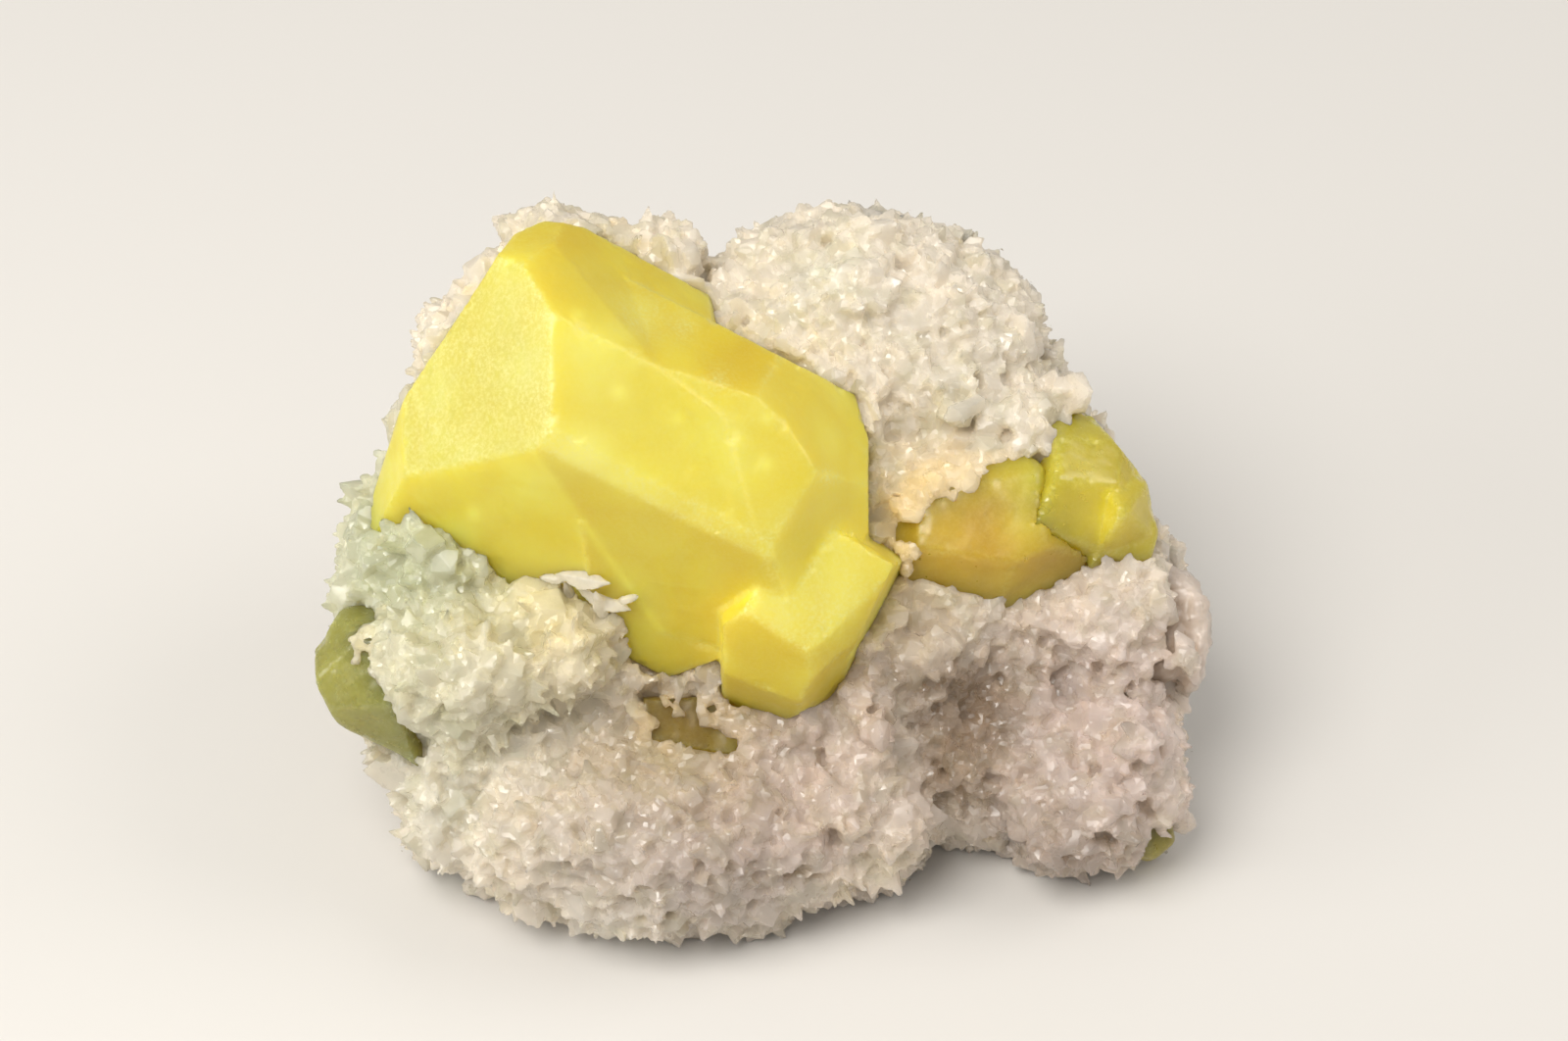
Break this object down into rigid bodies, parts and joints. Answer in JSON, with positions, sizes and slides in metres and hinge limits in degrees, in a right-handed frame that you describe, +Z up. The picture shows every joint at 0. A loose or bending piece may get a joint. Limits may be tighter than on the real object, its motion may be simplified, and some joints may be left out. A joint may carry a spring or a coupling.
{
  "type": "native sulfur crystal specimen",
  "caption": "Translucent yellow sulfur crystals grown on a lobed lump of drusy white calcite matrix with a flat base.",
  "frame": {"origin": "on the base plane, under the middle of the specimen", "axes": "+Z up; +X to the right across the display face, the longest side; the display face looks along -Y and up"},
  "size_m": [0.0987, 0.071, 0.0696],
  "materials": {
    "calcite_druse": "sparkling, rough drusy crust",
    "calcite_clear": "waxy translucent crystal",
    "sulfur": "greasy to resinous, slightly frosted",
    "sulfur_pale": "greasy to resinous",
    "sulfur_amber": "greasy to resinous",
    "sulfur_olive": "greasy to resinous"
  },
  "bodies": {
    "root": {"calcite_matrix": "calcite_druse", "main_sulfur_cluster": "sulfur", "right_sulfur": "sulfur_pale", "amber_sulfur": "sulfur_amber", "left_sulfur": "sulfur_olive", "pocket_sulfur": "sulfur_amber", "lower_right_sulfur": "sulfur_amber", "rear_sulfur": "sulfur", "lower_left_sulfur": "sulfur_olive", "calcite_blade": "calcite_clear"}
  },
  "joints": []
}
